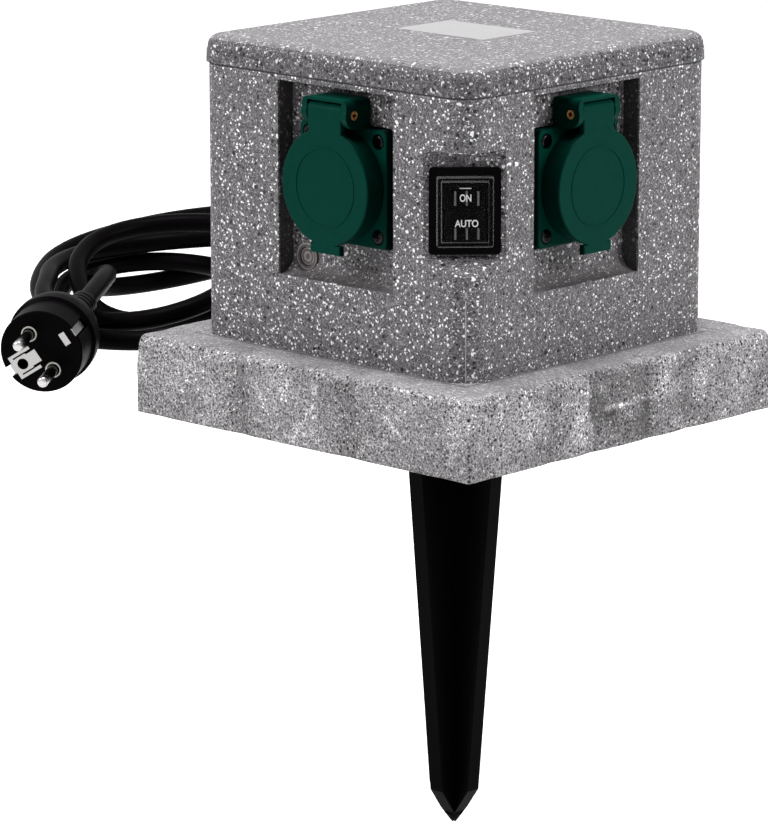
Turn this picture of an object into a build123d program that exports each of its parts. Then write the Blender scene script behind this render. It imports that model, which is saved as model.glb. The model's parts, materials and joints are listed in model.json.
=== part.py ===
from build123d import *
import math
import os

os.makedirs("parts", exist_ok=True)

# Driving dimensions, in mm. The origin is the centre of the slab's underside, +Z is up, the outlets are
# on the -Y and +X faces and the switch is in the corner between them.
SLAB_SIDE = 195.0
SLAB_HEIGHT = 34.5
SLAB_WALL = 6.0
SLAB_TOP_WALL = 3.5
SLAB_EDGE_RADIUS = 4.5
SLAB_CORNER_INSET = 0.8
VALLEY_DEPTH = 1.6
PLATE_THICKNESS = 3.0
SPIKE_LENGTH = 186.5
SPIKE_POINT = 16.5
SPIKE_FLANGE_RADIUS = 34.0
FIN_THICKNESS = 7.0
FIN_TOP = 27.0
FIN_SHOULDER = 11.4
BOSS_SCREW_CIRCLE = 31.0
BODY_SIDE = 155.2
BODY_RADIUS = 12.0
BODY_WALL = 3.0
CAP_Z = 152.5
CAP_SIDE = 157.6
CAP_BAND = 5.5
CAP_HEIGHT = 11.5
CAP_EDGE_RADIUS = 5.0
OUTLET_OFFSET = 3.5
OUTLET_Z = 108.4
RECESS_WIDTH = 66.4
RECESS_BOTTOM = -41.6
RECESS_TOP = 41.1
RECESS_DEPTH = 9.0
RECESS_COVE = 7.5
FLANGE_SIDE = 50.0
FLANGE_TOP = 4.2
SEAL_THICKNESS = 1.0
SCREW_PITCH = 40.0
SCREW_SINK = 1.4
COLLAR_RADIUS = 23.4
COLLAR_TOP = 11.6
WELL_RADIUS = 19.6
WELL_FLOOR = -5.8
BARREL_RADIUS = 21.6
BARREL_BACK = -24.0
PIN_PITCH = 19.0
LID_RADIUS = 24.8
LID_BACK = 12.8
LID_FRONT = 15.3
HINGE_Y = 31.0
HINGE_Z = 10.9
HINGE_PIN_RADIUS = 1.9
KNUCKLE_SIZE = 8.8
KNUCKLE_HALF = 9.5
EAR_OUTER = 12.8
NICHE_DISTANCE = 92.7
NICHE_Z = 104.3
NICHE_HALF = 17.2
SWITCH_WIDTH = 29.5
SWITCH_HEIGHT = 36.0
ROCKER_AXIS_Z = -1.0
ROCKER_HALF_THROW = 7.0
SENSOR_AT = (-24.3, -34.2)
GLAND_Y = 38.0
GLAND_Z = 67.7
CABLE_RADIUS = 4.5
PLUG_FACE = (-153.8, -100.7, 18.3)
PLUG_AXIS = (0.527, -0.8435, -0.1002)
PLUG_PIN_LINE = (0.414, 0.357, -0.838)
COIL_CENTRE = (-224.0, 28.5)
VIEW_TURN = 43.5

HALF_BODY = BODY_SIDE / 2
RECESS_FLOOR = HALF_BODY - RECESS_DEPTH


def save(node, name):
    node.part.label = name
    export_step(node.part, f"parts/{name}.step")


# Slab: a thin-walled shell whose sides are hewn into shallow convex panels
VALLEYS = ((-86, -34, 30, 86), (-86, -47, -22, 16, 40, 86), (-84, -30, 24, 86), (-86, -20, 40, 84))


def hewn_outline():
    half = SLAB_SIDE / 2
    corner = half - SLAB_CORNER_INSET
    for turn, valleys in enumerate(VALLEYS):
        stations = [(-corner, SLAB_CORNER_INSET)]
        stations += [(s, VALLEY_DEPTH) for s in valleys]
        stations.append((corner, SLAB_CORNER_INSET))
        for (s0, d0), (s1, d1) in zip(stations, stations[1:]):
            bulge = min(d0, d1)
            middle = Vector((s0 + s1) / 2, -(half - (d0 + d1) / 2 + bulge))
            start, end = Vector(s0, -(half - d0)), Vector(s1, -(half - d1))
            turned = [p.rotate(Axis.Z, 90 * turn) for p in (start, middle, end)]
            ThreePointArc(*turned)


with BuildPart() as base_slab:
    with BuildSketch():
        with BuildLine():
            hewn_outline()
        make_face()
    extrude(amount=SLAB_HEIGHT)
    with BuildPart(mode=Mode.PRIVATE) as rounded:
        Box(SLAB_SIDE, SLAB_SIDE, SLAB_HEIGHT, align=(Align.CENTER, Align.CENTER, Align.MIN))
        fillet(rounded.faces().sort_by(Axis.Z)[-1].edges(), SLAB_EDGE_RADIUS)
    add(rounded.part, mode=Mode.INTERSECT)
    inner_side = SLAB_SIDE - 2 * SLAB_WALL
    with BuildSketch():
        Rectangle(inner_side, inner_side)
    extrude(amount=SLAB_HEIGHT - SLAB_TOP_WALL, mode=Mode.SUBTRACT)
    with BuildSketch(Plane.XY.offset(PLATE_THICKNESS)):
        Circle(SPIKE_FLANGE_RADIUS + 2)
        Circle(SPIKE_FLANGE_RADIUS - 8, mode=Mode.SUBTRACT)
    extrude(amount=SLAB_HEIGHT - SLAB_TOP_WALL - PLATE_THICKNESS)
    with BuildSketch(Plane.XY.offset(PLATE_THICKNESS)):
        with PolarLocations(BOSS_SCREW_CIRCLE, 4, 45):
            Circle(1.7)
    extrude(amount=16, mode=Mode.SUBTRACT)
    with BuildSketch(Plane.XY.offset(SLAB_HEIGHT)):
        with GridLocations(120, 120, 2, 2):
            Circle(2.2)
    extrude(amount=-SLAB_TOP_WALL, mode=Mode.SUBTRACT)
save(base_slab, "base_slab")

with BuildPart() as base_plate:
    with BuildSketch():
        Rectangle(inner_side - 0.4, inner_side - 0.4)
        Circle(SPIKE_FLANGE_RADIUS + 0.4, mode=Mode.SUBTRACT)
    extrude(amount=PLATE_THICKNESS)
save(base_plate, "base_plate")

# Ground spike: a cross of four tapering fins on a round flange let into the slab's bottom plate
with BuildPart() as ground_spike:
    with BuildSketch():
        Circle(SPIKE_FLANGE_RADIUS)
    extrude(amount=PLATE_THICKNESS)
    shoulder_z = -(SPIKE_LENGTH - SPIKE_POINT)
    for plane in (Plane.XZ, Plane.YZ):
        with BuildSketch(plane):
            with BuildLine():
                Polyline(
                    (-FIN_TOP, 0), (FIN_TOP, 0), (FIN_SHOULDER, shoulder_z),
                    (0, -SPIKE_LENGTH), (-FIN_SHOULDER, shoulder_z), close=True,
                )
            make_face()
        extrude(amount=FIN_THICKNESS / 2, both=True)
    with BuildSketch(Plane.XZ):
        with BuildLine():
            Polyline(
                (1, -SPIKE_LENGTH - 1), (1, -SPIKE_LENGTH), (FIN_SHOULDER + 1.4, shoulder_z),
                (20, shoulder_z), (20, -SPIKE_LENGTH - 1), close=True,
            )
        make_face()
    revolve(axis=Axis.Z, mode=Mode.SUBTRACT)
    with BuildSketch():
        with PolarLocations(BOSS_SCREW_CIRCLE, 4, 45):
            Circle(2.1)
    extrude(amount=PLATE_THICKNESS, mode=Mode.SUBTRACT)
    with BuildSketch():
        with PolarLocations(BOSS_SCREW_CIRCLE, 4, 45):
            Circle(3.6)
    extrude(amount=2.2, taper=18, mode=Mode.SUBTRACT)
save(ground_spike, "ground_spike")


def pan_screw(head_radius, head_height, shank_radius, shank_length, slot=True):
    """A pan-head screw whose head stands up from the workplane and whose shank goes down from it."""
    with BuildPart(mode=Mode.PRIVATE) as screw:
        Cylinder(head_radius, head_height, align=(Align.CENTER, Align.CENTER, Align.MIN))
        fillet(screw.faces().sort_by(Axis.Z)[-1].edges(), head_height * 0.45)
        Cylinder(shank_radius, shank_length, align=(Align.CENTER, Align.CENTER, Align.MAX))
        if slot:
            for size in ((head_radius * 1.2, 0.6), (0.6, head_radius * 1.2)):
                with Locations((0, 0, head_height)):
                    Box(*size, head_height, mode=Mode.SUBTRACT)
    return screw.part


with BuildPart() as spike_screws:
    with BuildSketch(Plane.XY.offset(PLATE_THICKNESS + 13)) as tips:
        with PolarLocations(BOSS_SCREW_CIRCLE, 4, 45):
            Circle(1.6)
    extrude(amount=-13 - PLATE_THICKNESS + 0.6)
    with BuildSketch(Plane.XY.offset(0.6)):
        with PolarLocations(BOSS_SCREW_CIRCLE, 4, 45):
            Circle(2.6)
    extrude(amount=1.0)
save(spike_screws, "spike_screws")

# Housing: a rounded square box with a floor, a recess in two faces and a niche across one corner
OUTLETS = {
    "left": Plane(origin=(OUTLET_OFFSET, -RECESS_FLOOR, OUTLET_Z), x_dir=(1, 0, 0), z_dir=(0, -1, 0)),
    "right": Plane(origin=(RECESS_FLOOR, -OUTLET_OFFSET, OUTLET_Z), x_dir=(0, 1, 0), z_dir=(1, 0, 0)),
}
niche_c = NICHE_DISTANCE / math.sqrt(2)
NICHE = Plane(origin=(niche_c, -niche_c, NICHE_Z), x_dir=(1, 1, 0), z_dir=(1, -1, 0))
GLAND = Plane(origin=(-HALF_BODY, GLAND_Y, GLAND_Z), x_dir=(0, 0, 1), z_dir=(-1, 0, 0))
CAVITY_FLOOR = SLAB_HEIGHT + BODY_WALL
RECESS_MID = (RECESS_TOP + RECESS_BOTTOM) / 2
RECESS_TALL = RECESS_TOP - RECESS_BOTTOM


def recess_block(plane, grow, depth_in, depth_out):
    """The recess's space, or the wall round it when grown, as a solid in the outlet's own frame."""
    with BuildPart(plane, mode=Mode.PRIVATE) as block:
        with BuildSketch(plane.offset(-depth_in)):
            with Locations((0, RECESS_MID)):
                Rectangle(RECESS_WIDTH + 2 * grow, RECESS_TALL + 2 * grow)
        extrude(amount=depth_in + depth_out)
        if grow == 0:
            inner = block.faces().sort_by(Axis(plane.origin, plane.z_dir))[0]
            fillet(inner.edges().sort_by(Axis.Z)[0], RECESS_COVE)
    return block.part


def niche_block(grow, depth_out):
    """The corner niche with a level top and a sloping sill, or the wall round it when grown."""
    with BuildPart(mode=Mode.PRIVATE) as block:
        side = Plane(origin=NICHE.origin, x_dir=NICHE.z_dir, z_dir=-NICHE.x_dir)
        with BuildSketch(side):
            top, sill, slope = 25.3, -18.9, 0.58
            with BuildLine():
                Polyline(
                    (-grow, sill - grow), (-grow, top + grow), (depth_out, top + grow),
                    (depth_out, sill - grow - slope * (depth_out + grow)), close=True,
                )
            make_face()
        extrude(amount=NICHE_HALF + 14, both=True)
    return block.part


with BuildPart() as whole_housing:
    with BuildSketch(Plane.XY.offset(SLAB_HEIGHT)):
        RectangleRounded(BODY_SIDE, BODY_SIDE, BODY_RADIUS)
    extrude(amount=CAP_Z - SLAB_HEIGHT)
    with BuildPart(mode=Mode.PRIVATE) as cavity:
        with BuildSketch(Plane.XY.offset(CAVITY_FLOOR)):
            inner_body = BODY_SIDE - 2 * BODY_WALL
            RectangleRounded(inner_body, inner_body, BODY_RADIUS - BODY_WALL)
        extrude(amount=CAP_Z - CAVITY_FLOOR)
        for plane in OUTLETS.values():
            add(recess_block(plane, BODY_WALL, BODY_WALL, RECESS_DEPTH), mode=Mode.SUBTRACT)
        add(niche_block(BODY_WALL, 20), mode=Mode.SUBTRACT)
    add(cavity.part, mode=Mode.SUBTRACT)
    for plane in OUTLETS.values():
        add(recess_block(plane, 0, 0, RECESS_DEPTH + 1), mode=Mode.SUBTRACT)
        with BuildSketch(plane):
            Circle(BARREL_RADIUS + 0.5)
            with GridLocations(SCREW_PITCH, SCREW_PITCH, 2, 2):
                Circle(1.6)
        extrude(amount=-BODY_WALL, mode=Mode.SUBTRACT)
    add(niche_block(0, 20), mode=Mode.SUBTRACT)
    with BuildSketch(NICHE):
        Rectangle(21.6, 28.8)
    extrude(amount=-BODY_WALL - 1, mode=Mode.SUBTRACT)
    with BuildSketch(OUTLETS["left"]):
        with Locations(SENSOR_AT):
            Circle(6.2)
    extrude(amount=RECESS_DEPTH, mode=Mode.SUBTRACT)
    with BuildSketch(OUTLETS["left"]):
        with Locations(SENSOR_AT):
            Circle(5.0)
    extrude(amount=-BODY_WALL, mode=Mode.SUBTRACT)
    with BuildSketch(GLAND):
        Circle(8.2)
    extrude(amount=-BODY_WALL, mode=Mode.SUBTRACT)
    with BuildSketch(Plane.XY.offset(CAVITY_FLOOR)):
        with GridLocations(120, 120, 2, 2):
            Circle(5)
    extrude(amount=12)
    with BuildSketch(Plane.XY.offset(SLAB_HEIGHT)):
        with GridLocations(120, 120, 2, 2):
            Circle(1.9)
    extrude(amount=BODY_WALL + 9, mode=Mode.SUBTRACT)

# each recess is a tray behind the housing's wall, with the outlet's hole in its floor
trays = {side: recess_block(plane, BODY_WALL, BODY_WALL, RECESS_DEPTH - BODY_WALL) for side, plane in OUTLETS.items()}
with BuildPart() as housing:
    add(whole_housing.part)
    for tray in trays.values():
        add(tray, mode=Mode.SUBTRACT)
save(housing, "housing")

for side, tray in trays.items():
    with BuildPart() as recess_tray:
        add(whole_housing.part)
        add(tray, mode=Mode.INTERSECT)
    save(recess_tray, f"{side}_recess_tray")

with BuildPart() as housing_screws:
    with Locations(*[
        Location((x, y, SLAB_HEIGHT - SLAB_TOP_WALL), (180, 0, 0)) for x in (-60, 60) for y in (-60, 60)
    ]):
        add(pan_screw(3.6, 2.2, 1.8, 13))
save(housing_screws, "housing_screws")

# Cap: a skirt band, a rounded top and a lip that seals inside the housing
LIP_OUTER = 142.4
LIP_INNER = 138.4


def over_recesses():
    """Plan gaps where the lip and its seal would meet the walls of the two recesses."""
    width, deep = RECESS_WIDTH + 2 * BODY_WALL + 0.6, 2 * (RECESS_DEPTH + BODY_WALL) + 1
    with Locations((OUTLET_OFFSET, -HALF_BODY)):
        Rectangle(width, deep, mode=Mode.SUBTRACT)
    with Locations((HALF_BODY, -OUTLET_OFFSET)):
        Rectangle(deep, width, mode=Mode.SUBTRACT)


with BuildPart() as cap:
    with BuildSketch(Plane.XY.offset(CAP_Z)):
        RectangleRounded(CAP_SIDE, CAP_SIDE, BODY_RADIUS + 1.2)
    extrude(amount=CAP_BAND, taper=2)
    with BuildSketch(Plane.XY.offset(CAP_Z + CAP_BAND)):
        RectangleRounded(CAP_SIDE - 1.2, CAP_SIDE - 1.2, BODY_RADIUS + 0.6)
    extrude(amount=CAP_HEIGHT - CAP_BAND)
    fillet(cap.faces().sort_by(Axis.Z)[-1].edges(), CAP_EDGE_RADIUS)
    with BuildSketch(Plane.XY.offset(CAP_Z)):
        RectangleRounded(LIP_INNER, LIP_INNER, 4)
    extrude(amount=CAP_HEIGHT - BODY_WALL, mode=Mode.SUBTRACT)
    with BuildSketch(Plane.XY.offset(CAP_Z)):
        RectangleRounded(LIP_OUTER, LIP_OUTER, 6)
        RectangleRounded(LIP_INNER, LIP_INNER, 4, mode=Mode.SUBTRACT)
        over_recesses()
    extrude(amount=-6)
save(cap, "cap")

with BuildPart() as cap_seal:
    with BuildSketch(Plane.XY.offset(CAP_Z - 4)):
        RectangleRounded(inner_body - 0.2, inner_body - 0.2, BODY_RADIUS - BODY_WALL)
        RectangleRounded(LIP_OUTER + 0.2, LIP_OUTER + 0.2, 6, mode=Mode.SUBTRACT)
        over_recesses()
    extrude(amount=4)
save(cap_seal, "cap_seal")


# Outlets: each one's pieces are made in the frame of its own recess floor
def flange_seal(plane):
    with BuildPart(plane) as seal:
        with BuildSketch(plane):
            RectangleRounded(FLANGE_SIDE + 1, FLANGE_SIDE + 1, 3)
            Circle(BARREL_RADIUS + 0.5, mode=Mode.SUBTRACT)
            with GridLocations(SCREW_PITCH, SCREW_PITCH, 2, 2):
                Circle(1.6, mode=Mode.SUBTRACT)
        extrude(amount=SEAL_THICKNESS)
    return seal


def outlet_body(plane):
    side = Plane(origin=plane.origin, x_dir=plane.z_dir, z_dir=-plane.x_dir)
    with BuildPart(plane) as body:
        with BuildSketch(plane.offset(SEAL_THICKNESS)):
            RectangleRounded(FLANGE_SIDE, FLANGE_SIDE, 3)
        extrude(amount=FLANGE_TOP - SEAL_THICKNESS)
        fillet(body.faces().sort_by(Axis(plane.origin, plane.z_dir))[-1].edges(), 0.8)
        with BuildSketch(plane.offset(FLANGE_TOP)):
            Circle(COLLAR_RADIUS)
        extrude(amount=COLLAR_TOP - FLANGE_TOP)
        # hinge block above the flange: a back, a thin hood and two rounded ears
        with BuildSketch(side):
            with BuildLine():
                Polyline((HINGE_Z, 25.2), (5, 24), (1, 24), (1, 37.4), (15.3, 37.4), (15.3, 33))
                ThreePointArc((15.3, 33), (13.6, 26.4), (HINGE_Z, 25.2))
            make_face()
        extrude(amount=EAR_OUTER, both=True)
        outward = Axis(plane.origin, plane.z_dir)
        fillet(body.edges().filter_by(outward).sort_by(Axis.Z)[-2:], 3)
        with BuildSketch(side):
            with BuildLine():
                Polyline((5.4, 23.6), (5.4, 36.2), (16, 36.2), (16, 23.6), close=True)
            make_face()
        extrude(amount=KNUCKLE_HALF + 0.4, both=True, mode=Mode.SUBTRACT)
        with BuildSketch(plane.offset(COLLAR_TOP)):
            Circle(WELL_RADIUS)
        extrude(amount=SEAL_THICKNESS - COLLAR_TOP, mode=Mode.SUBTRACT)
        with BuildSketch(plane.offset(FLANGE_TOP)):
            with GridLocations(SCREW_PITCH, SCREW_PITCH, 2, 2):
                Circle(1.7)
        extrude(amount=-FLANGE_TOP, mode=Mode.SUBTRACT)
        with BuildSketch(plane.offset(FLANGE_TOP)):
            with GridLocations(SCREW_PITCH, SCREW_PITCH, 2, 2):
                Circle(3.3)
        extrude(amount=-SCREW_SINK, mode=Mode.SUBTRACT)
        with BuildSketch(side):
            with Locations((HINGE_Z, HINGE_Y)):
                Circle(HINGE_PIN_RADIUS + 0.02)
        extrude(amount=EAR_OUTER + 1, both=True, mode=Mode.SUBTRACT)
    return body


def outlet_barrel(plane):
    with BuildPart(plane) as barrel:
        with BuildSketch(plane.offset(SEAL_THICKNESS)):
            Circle(BARREL_RADIUS)
            Circle(WELL_RADIUS, mode=Mode.SUBTRACT)
        extrude(amount=BARREL_BACK - SEAL_THICKNESS)
    return barrel


def hinge_axis_sketch(plane, along):
    """The workplane square to the hinge pin, at a place along it."""
    origin = plane.from_local_coords(Vector(along, HINGE_Y, HINGE_Z))
    return Plane(origin=origin, x_dir=plane.z_dir, z_dir=plane.x_dir)


def hinge_pin(plane):
    with BuildPart() as pin:
        with BuildSketch(hinge_axis_sketch(plane, -EAR_OUTER - 0.3)):
            Circle(HINGE_PIN_RADIUS)
            Circle(1.0, mode=Mode.SUBTRACT)
        extrude(amount=2 * EAR_OUTER + 0.6)
    return pin


def lid(plane):
    side = Plane(origin=plane.origin, x_dir=plane.z_dir, z_dir=-plane.x_dir)
    with BuildPart() as part:
        with BuildSketch(plane.offset(LID_BACK)):
            Circle(LID_RADIUS)
            with Locations((0, (HINGE_Y + 15) / 2)):
                Rectangle(2 * KNUCKLE_HALF, HINGE_Y - 15)
            with Locations((0, -26)):
                Rectangle(17.4, 4)
        extrude(amount=LID_FRONT - LID_BACK)
        front = part.faces().sort_by(Axis(plane.origin, plane.z_dir))[-1]
        fillet(front.edges(), 0.7)
        with BuildSketch(plane.offset(LID_FRONT)):
            Circle(17.0)
            Circle(16.2, mode=Mode.SUBTRACT)
        extrude(amount=0.25)
        with BuildSketch(side):
            with Locations((HINGE_Z, HINGE_Y)):
                RectangleRounded(KNUCKLE_SIZE, KNUCKLE_SIZE, 3)
        extrude(amount=KNUCKLE_HALF, both=True)
        with BuildSketch(side):
            with Locations((HINGE_Z, HINGE_Y)):
                Circle(HINGE_PIN_RADIUS + 0.06)
        extrude(amount=KNUCKLE_HALF, both=True, mode=Mode.SUBTRACT)
        # pocket at the back of the knuckle for the closing spring
        with BuildSketch(side):
            with Locations((HINGE_Z, HINGE_Y)):
                Circle(3.5)
            with Locations((HINGE_Z, HINGE_Y - 3.5)):
                Rectangle(6, 9, align=(Align.MAX, Align.MIN))
        extrude(amount=3.2, both=True, mode=Mode.SUBTRACT)
    return part


def lid_seal(plane):
    with BuildPart(plane) as seal:
        with BuildSketch(plane.offset(COLLAR_TOP + 0.15)):
            Circle(COLLAR_RADIUS - 0.4)
            Circle(WELL_RADIUS + 0.6, mode=Mode.SUBTRACT)
        extrude(amount=LID_BACK - COLLAR_TOP - 0.15)
    return seal


def lid_spring(plane):
    """Closing spring round the hinge pin, as its outer sleeve, with the leg that bears on the block."""
    with BuildPart() as spring:
        with BuildSketch(hinge_axis_sketch(plane, -2.6)):
            Circle(3.3)
            Circle(2.4, mode=Mode.SUBTRACT)
        extrude(amount=5.2)
        with BuildSketch(hinge_axis_sketch(plane, -2.6)):
            with Locations((0, 2.85)):
                Rectangle(HINGE_Z - 5.4, 0.8, align=(Align.MAX, Align.CENTER))
        extrude(amount=0.8)
    return spring


def contact_insert(plane):
    with BuildPart(plane) as insert:
        with BuildSketch(plane.offset(WELL_FLOOR)):
            Circle(WELL_RADIUS - 0.15)
            with GridLocations(PIN_PITCH, 1, 2, 1):
                Circle(2.7, mode=Mode.SUBTRACT)
            with GridLocations(1, 2 * (WELL_RADIUS - 1), 1, 2):
                Rectangle(5.4, 4.2, mode=Mode.SUBTRACT)
        extrude(amount=-4.2)
    return insert


def line_contacts(plane):
    with BuildPart(plane) as contacts:
        with BuildSketch(plane.offset(WELL_FLOOR - 4.4)):
            with GridLocations(PIN_PITCH, 1, 2, 1):
                Circle(3.2)
                Circle(2.45, mode=Mode.SUBTRACT)
        extrude(amount=-9)
    return contacts


def earth_clip(plane):
    with BuildPart(plane) as clip:
        with BuildSketch(plane.offset(WELL_FLOOR - 5.2)):
            Rectangle(4.8, 2 * WELL_RADIUS - 1.4)
        extrude(amount=0.8)
        for end in (-1, 1):
            with BuildSketch(plane.offset(WELL_FLOOR - 5.2)):
                with Locations((0, end * (WELL_RADIUS - 1.1))):
                    Rectangle(4.8, 0.8)
            extrude(amount=16)
    return clip


def rear_cover(plane):
    with BuildPart(plane) as cover:
        with BuildSketch(plane.offset(BARREL_BACK)):
            Circle(BARREL_RADIUS)
            with Locations((0, -12)):
                Circle(4.2, mode=Mode.SUBTRACT)
        extrude(amount=-2.2)
    return cover


def flange_screws(plane):
    with BuildPart() as screws:
        for x in (-SCREW_PITCH / 2, SCREW_PITCH / 2):
            for y in (-SCREW_PITCH / 2, SCREW_PITCH / 2):
                place = plane.location * Location((x, y, FLANGE_TOP - SCREW_SINK))
                add(pan_screw(2.9, 1.8, 1.45, 8).located(place))
    return screws


for name, plane in OUTLETS.items():
    save(flange_seal(plane), f"{name}_flange_seal")
    save(outlet_body(plane), f"{name}_outlet_body")
    save(outlet_barrel(plane), f"{name}_outlet_barrel")
    save(hinge_pin(plane), f"{name}_hinge_pin")
    save(lid(plane), f"{name}_lid")
    save(lid_seal(plane), f"{name}_lid_seal")
    save(lid_spring(plane), f"{name}_lid_spring")
    save(contact_insert(plane), f"{name}_contact_insert")
    save(line_contacts(plane), f"{name}_line_contacts")
    save(earth_clip(plane), f"{name}_earth_clip")
    save(rear_cover(plane), f"{name}_rear_cover")
    save(flange_screws(plane), f"{name}_flange_screws")

# Switch in the corner niche
SWITCH_SIDE = Plane(origin=NICHE.origin, x_dir=NICHE.z_dir, z_dir=-NICHE.x_dir)
with BuildPart() as switch_bezel:
    with BuildSketch(NICHE.offset(0.1)):
        RectangleRounded(SWITCH_WIDTH, SWITCH_HEIGHT, 1.4)
        Rectangle(19.6, 26.6, mode=Mode.SUBTRACT)
    extrude(amount=2.6)
save(switch_bezel, "switch_bezel")

with BuildPart() as switch_body:
    with BuildSketch(NICHE.offset(-20)):
        Rectangle(21.2, 28.4)
    extrude(amount=20)
    with BuildSketch(NICHE.offset(-7)):
        Rectangle(17.4, 25.8)
    extrude(amount=7.1, mode=Mode.SUBTRACT)
    with BuildSketch(SWITCH_SIDE):
        with Locations((ROCKER_AXIS_Z, 0)):
            Circle(1.1)
        with Locations((ROCKER_AXIS_Z, 0)):
            Rectangle(3, 2.2, align=(Align.MIN, Align.CENTER))
    extrude(amount=9.4, both=True, mode=Mode.SUBTRACT)
save(switch_body, "switch_body")

with BuildPart() as switch_rocker:
    with BuildPart(mode=Mode.PRIVATE) as straight:
        with BuildSketch(SWITCH_SIDE):
            with BuildLine():
                Polyline((-3, -9.5), (1.6, -12.6), (2.9, 0), (1.6, 12.6), (-3, 9.5), close=True)
            make_face()
        extrude(amount=8.2, both=True)
        with BuildSketch(SWITCH_SIDE):
            with Locations((ROCKER_AXIS_Z, 0)):
                Circle(1.05)
        extrude(amount=9.2, both=True)
        for x in (-4.0, 0.7, 5.4):
            for y, length in ((-9.7, 5.0), (4.8, 6.2)):
                with BuildSketch(NICHE.offset(1.5)):
                    with Locations((x, y)):
                        RectangleRounded(1.0, length, 0.45)
                extrude(amount=1.4)
    axis_point = NICHE.from_local_coords(Vector(0, 0, ROCKER_AXIS_Z))
    add(straight.part.rotate(Axis(axis_point, NICHE.x_dir), -ROCKER_HALF_THROW))
save(switch_rocker, "switch_rocker")

with BuildPart() as switch_boot:
    with BuildSketch(NICHE.offset(2.7)):
        RectangleRounded(23.4, 29.2, 1.6)
    extrude(amount=4.4, taper=4)
    with BuildSketch(NICHE.offset(2.7)):
        Rectangle(19.6, 26.6)
    extrude(amount=3.6, taper=4, mode=Mode.SUBTRACT)
save(switch_boot, "switch_boot")

with BuildPart() as switch_terminals:
    with BuildSketch(NICHE.offset(-20)):
        with GridLocations(12, 9, 2, 2):
            Rectangle(0.8, 4.8)
    extrude(amount=-7)
save(switch_terminals, "switch_terminals")

# Dusk sensor low in the left recess
with BuildPart() as sensor_bezel:
    with BuildSketch(OUTLETS["left"].offset(0.05)):
        with Locations(SENSOR_AT):
            Circle(6.0)
    extrude(amount=1.2)
    fillet(sensor_bezel.faces().sort_by(Axis.Y)[0].edges(), 0.5)
    with BuildSketch(OUTLETS["left"].offset(0.05)):
        with Locations(SENSOR_AT):
            Circle(4.9)
    extrude(amount=-6)
    with BuildSketch(OUTLETS["left"].offset(1.25)):
        with Locations(SENSOR_AT):
            Circle(4.2)
    extrude(amount=-7.2, mode=Mode.SUBTRACT)
save(sensor_bezel, "sensor_bezel")

with BuildPart() as sensor_lens:
    with BuildSketch(OUTLETS["left"].offset(-2.5)):
        with Locations(SENSOR_AT):
            Circle(4.15)
    extrude(amount=3.2)
    fillet(sensor_lens.faces().sort_by(Axis.Y)[0].edges(), 0.9)
save(sensor_lens, "sensor_lens")

with BuildPart() as photocell:
    with BuildSketch(OUTLETS["left"].offset(-2.6)):
        with Locations(SENSOR_AT):
            Circle(2.6)
    extrude(amount=-2)
    with BuildSketch(OUTLETS["left"].offset(-4.6)):
        with Locations(SENSOR_AT):
            with GridLocations(2.5, 1, 2, 1):
                Circle(0.3)
    extrude(amount=-6)
save(photocell, "photocell")

# Control board with its relay and terminals on the housing's floor
BOARD_Z = CAVITY_FLOOR + 8
with BuildPart() as control_board:
    with BuildSketch(Plane.XY.offset(BOARD_Z)):
        with Locations((-18, 8)):
            Rectangle(64, 46)
    extrude(amount=1.6)
save(control_board, "control_board")

with BuildPart() as board_posts:
    with BuildSketch(Plane.XY.offset(CAVITY_FLOOR)):
        with Locations((-18, 8)):
            with GridLocations(56, 38, 2, 2):
                Circle(2.6)
    extrude(amount=BOARD_Z - CAVITY_FLOOR)
save(board_posts, "board_posts")

with BuildPart() as relay:
    with BuildSketch(Plane.XY.offset(BOARD_Z + 1.6)):
        with Locations((-2, 12)):
            Rectangle(19, 15.5)
    extrude(amount=15.5)
    fillet(relay.edges().filter_by(Axis.Z), 1.0)
save(relay, "relay")

with BuildPart() as terminal_block:
    with BuildSketch(Plane.XY.offset(BOARD_Z + 1.6)):
        with Locations((-34, 0)):
            Rectangle(12, 24)
    extrude(amount=11)
    with BuildSketch(Plane.XY.offset(BOARD_Z + 12.6)):
        with Locations((-34, 0)):
            with GridLocations(1, 8, 1, 3):
                Circle(2.2)
    extrude(amount=-5, mode=Mode.SUBTRACT)
save(terminal_block, "terminal_block")

# Cable gland low in the rear face, with its lock nut, bend relief and inner clamp
RELIEF_LENGTH = 30.0
GLAND_HEX = 5.0
with BuildPart() as gland_body:
    with BuildSketch(GLAND.offset(-BODY_WALL - 6)):
        Circle(8.0)
    extrude(amount=BODY_WALL + 6)
    with BuildSketch(GLAND):
        RegularPolygon(12.5, 6)
    extrude(amount=GLAND_HEX)
    with BuildSketch(GLAND.offset(-BODY_WALL - 6)):
        Circle(CABLE_RADIUS + 0.3)
    extrude(amount=BODY_WALL + 6 + GLAND_HEX, mode=Mode.SUBTRACT)
save(gland_body, "gland_body")

with BuildPart() as gland_nut:
    with BuildSketch(GLAND.offset(-BODY_WALL)):
        RegularPolygon(12.0, 6)
        Circle(8.1, mode=Mode.SUBTRACT)
    extrude(amount=-4.5)
save(gland_nut, "gland_nut")

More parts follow.
